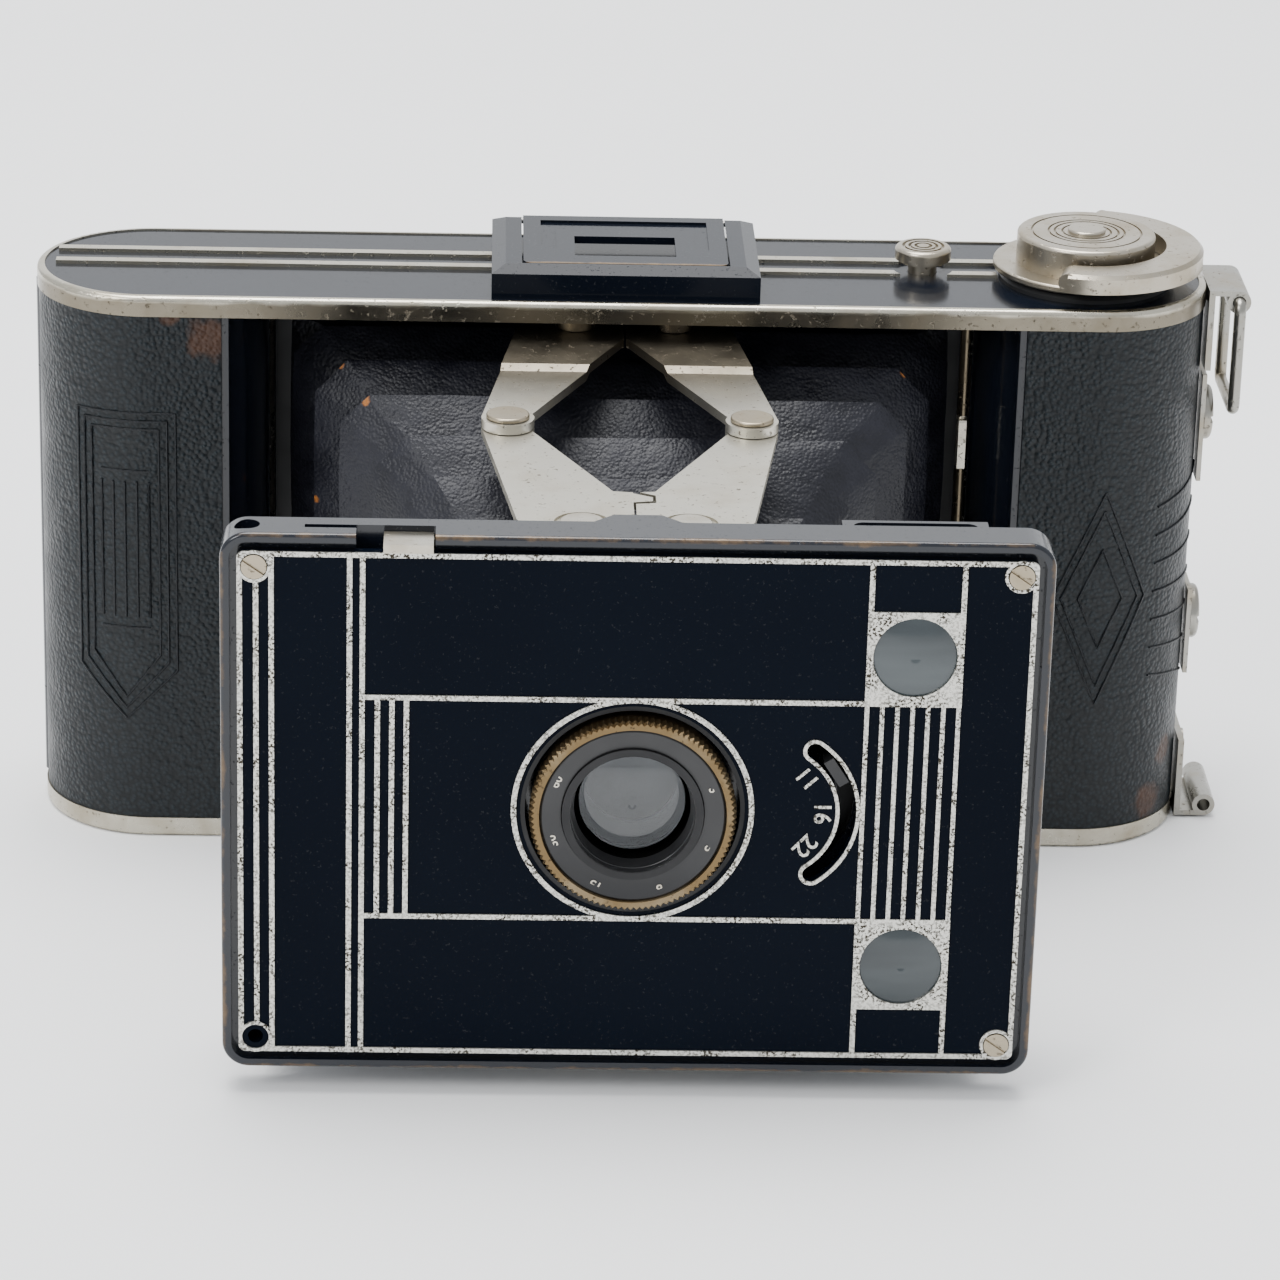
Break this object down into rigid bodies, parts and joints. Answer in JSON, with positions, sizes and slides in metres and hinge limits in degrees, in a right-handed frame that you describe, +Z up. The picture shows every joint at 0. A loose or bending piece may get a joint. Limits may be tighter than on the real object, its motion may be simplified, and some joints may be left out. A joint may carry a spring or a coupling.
{
  "type": "folding camera",
  "caption": "Folding roll-film camera with a strut-mounted front standard, leather bellows, folding finder, winding key and hinged back.",
  "frame": {"origin": "centre of the tripod bush, on the flat base that the camera stands on", "axes": "+Z up through the body, lens looks along -Y, +X to the right of someone who faces the lens"},
  "size_m": [0.1598, 0.107, 0.0827],
  "materials": {
    "bellows_leather": "pleated black leather",
    "black_metal": "satin black lacquer",
    "brass": "worn brass, knurled",
    "enamel": "glossy black enamel",
    "glass": "polished",
    "leather": "pebbled black leather",
    "mirror": "silvered",
    "nickel": "worn nickel plate",
    "red_glass": "red celluloid",
    "steel": "plain steel",
    "wood": "dark turned wood with metal ends"
  },
  "bodies": {
    "camera_body": {"top_cover": "enamel", "cover_ribs": "nickel", "body_trims": "nickel", "bottom_cover": "enamel", "strut_plates": "black_metal", "latch_rod": "black_metal", "spool_housing_left": "enamel", "spool_housing_right": "enamel", "leather_left": "leather", "leather_right": "leather", "film_gate": "black_metal", "spool_pins": "nickel", "tripod_bush": "nickel", "bellows": "bellows_leather", "hinge_pins": "steel", "body_pivots": "nickel", "finder_base": "enamel", "key_escutcheon": "black_metal", "strap_lugs": "nickel", "handle_plates": "nickel", "handle_screws": "nickel"},
    "back": {"back_door": "enamel", "back_leather": "leather", "window_ring": "nickel", "window_glass": "red_glass", "pressure_plate": "black_metal", "pressure_springs": "steel"},
    "rear_link_left": {"rear_links_left": "nickel"},
    "rear_link_right": {"rear_links_right": "nickel"},
    "front_link_left": {"front_links_left": "nickel", "knee_rivets_left": "nickel"},
    "front_link_right": {"front_links_right": "nickel", "knee_rivets_right": "nickel"},
    "standard": {"front_housing": "enamel", "mechanism_box": "enamel", "face_plate": "enamel", "face_lines": "nickel", "face_screws": "nickel", "lens_mounts": "black_metal", "lenses": "glass", "shutter_plate": "black_metal", "finder_objectives": "glass", "finder_eye_glasses": "glass", "finder_mirrors": "mirror", "standard_pivots": "nickel"},
    "focus": {"focus_ring": "brass"},
    "stops": {"aperture_plate": "steel"},
    "shutter": {"shutter_disc": "black_metal"},
    "release": {"release_lever": "nickel"},
    "winder": {"winding_key": "nickel", "take_up_spool": "wood"},
    "winder_handle": {"winding_handle": "nickel"},
    "supply": {"supply_spool": "wood"},
    "roller_left": {"film_roller_left": "nickel"},
    "roller_right": {"film_roller_right": "nickel"},
    "button": {"erecting_button": "nickel"},
    "rear_sight": {"finder_flap": "enamel"},
    "front_sight": {"finder_frame": "black_metal", "finder_glass": "glass"},
    "loop": {"strap_loop": "nickel"}
  },
  "joints": [
    {"name": "strut_fold", "type": "hinge", "parent": "camera_body", "child": "rear_link_left", "pos_m": [-0.0064, -0.0088, 0.038], "axis": [0, 0, -1], "range_deg": [0, 70], "deforming": ["bellows"]},
    {"name": "knee_left", "type": "hinge", "parent": "rear_link_left", "child": "front_link_left", "pos_m": [-0.0152, -0.0426, 0.038], "axis": [0, 0, 1], "range_deg": [0, 140]},
    {"name": "standard_pivot", "type": "hinge", "parent": "front_link_left", "child": "standard", "pos_m": [-0.0064, -0.0764, 0.038], "axis": [0, 0, -1], "range_deg": [0, 70]},
    {"name": "rear_pivot_right", "type": "hinge", "parent": "camera_body", "child": "rear_link_right", "pos_m": [0.0064, -0.0088, 0.038], "axis": [0, 0, 1], "range_deg": [0, 70]},
    {"name": "knee_right", "type": "hinge", "parent": "rear_link_right", "child": "front_link_right", "pos_m": [0.0152, -0.0426, 0.038], "axis": [0, 0, -1], "range_deg": [0, 140]},
    {"name": "door_hinge", "type": "hinge", "parent": "camera_body", "child": "back", "pos_m": [-0.076, 0.0015, 0.038], "axis": [0, 0, 1], "range_deg": [0, 110]},
    {"name": "focus_turn", "type": "hinge", "parent": "standard", "child": "focus", "pos_m": [0, -0.09, 0.038], "axis": [0, 1, 0], "range_deg": [-120, 120]},
    {"name": "stop_turn", "type": "hinge", "parent": "standard", "child": "stops", "pos_m": [0.0158, -0.0807, 0.038], "axis": [0, 1, 0], "range_deg": [0, 66]},
    {"name": "shutter_turn", "type": "hinge", "parent": "standard", "child": "shutter", "pos_m": [-0.014, -0.0785, 0.038], "axis": [0, 1, 0], "range_deg": [0, 100]},
    {"name": "release_swing", "type": "hinge", "parent": "standard", "child": "release", "pos_m": [-0.0282, -0.0876, 0.044], "axis": [0, -1, 0], "range_deg": [0, 6], "stiffness_Nm_per_rad": 0.02},
    {"name": "key_turn", "type": "hinge", "parent": "camera_body", "child": "winder", "pos_m": [0.0608, 0, 0.038], "axis": [0, 0, 1], "continuous": true},
    {"name": "handle_lift", "type": "hinge", "parent": "winder", "child": "winder_handle", "pos_m": [0.0608, 0, 0.07955], "axis": [-0.2588, -0.9659, 0], "range_deg": [0, 90]},
    {"name": "supply_turn", "type": "hinge", "parent": "camera_body", "child": "supply", "pos_m": [-0.0608, 0, 0.038], "axis": [0, 0, 1], "continuous": true},
    {"name": "roller_left_turn", "type": "hinge", "parent": "camera_body", "child": "roller_left", "pos_m": [-0.0482, 0.0086, 0.038], "axis": [0, 0, 1], "continuous": true},
    {"name": "roller_right_turn", "type": "hinge", "parent": "camera_body", "child": "roller_right", "pos_m": [0.0482, 0.0086, 0.038], "axis": [0, 0, 1], "continuous": true},
    {"name": "button_press", "type": "slide", "parent": "camera_body", "child": "button", "axis": [0, 0, -1], "range_m": [0, 0.0013], "stiffness_N_per_m": 300},
    {"name": "sight_flap", "type": "hinge", "parent": "camera_body", "child": "rear_sight", "pos_m": [0, 0.01, 0.07925], "axis": [-1, 0, 0], "range_deg": [0, 90]},
    {"name": "sight_frame", "type": "hinge", "parent": "camera_body", "child": "front_sight", "pos_m": [0, -0.0093, 0.0775], "axis": [1, 0, 0], "range_deg": [0, 90]},
    {"name": "loop_swing", "type": "hinge", "parent": "camera_body", "child": "loop", "pos_m": [0.081, 0.00125, 0.0741], "axis": [0, -1, 0], "range_deg": [0, 150]}
  ],
  "couplings": [
    {"joint": "knee_left", "follows": "strut_fold", "ratio": 2},
    {"joint": "standard_pivot", "follows": "strut_fold", "ratio": 1},
    {"joint": "rear_pivot_right", "follows": "strut_fold", "ratio": 1},
    {"joint": "knee_right", "follows": "strut_fold", "ratio": 2},
    {"joint": "sight_frame", "follows": "sight_flap", "ratio": 1}
  ]
}
